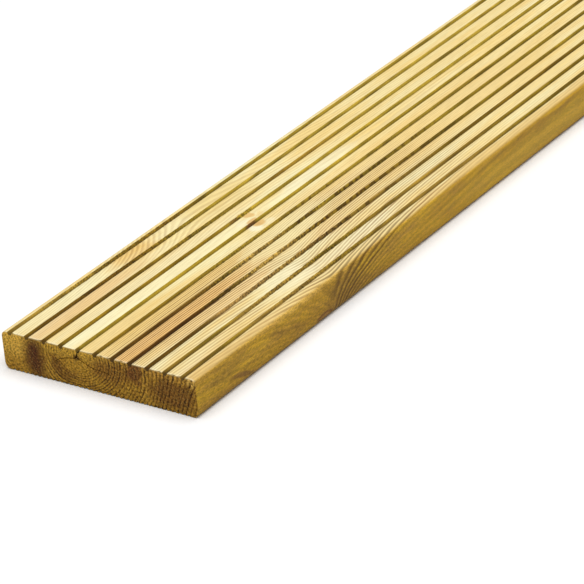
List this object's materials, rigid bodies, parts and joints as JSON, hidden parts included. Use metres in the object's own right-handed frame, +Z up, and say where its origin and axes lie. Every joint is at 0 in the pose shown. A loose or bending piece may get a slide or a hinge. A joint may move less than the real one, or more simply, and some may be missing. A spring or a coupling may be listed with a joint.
{
  "type": "decking board",
  "caption": "Straight reversible softwood decking board with wide anti-slip grooves on its upper face, fine reeding underneath, rounded long corners and square-sawn ends.",
  "frame": {"origin": "on the floor under the middle of the board, at the height of the reeds it lies on", "axes": "+X along the board, with the end seen in the picture at -X; +Y across the board, away from the long side seen in the picture; +Z up, out of the grooved face"},
  "size_m": [1.8, 0.145, 0.026],
  "materials": {
    "treated_pine": "planed and moulded, pressure treated, no coating"
  },
  "bodies": {
    "root": {"decking_board": "treated_pine"}
  },
  "joints": []
}
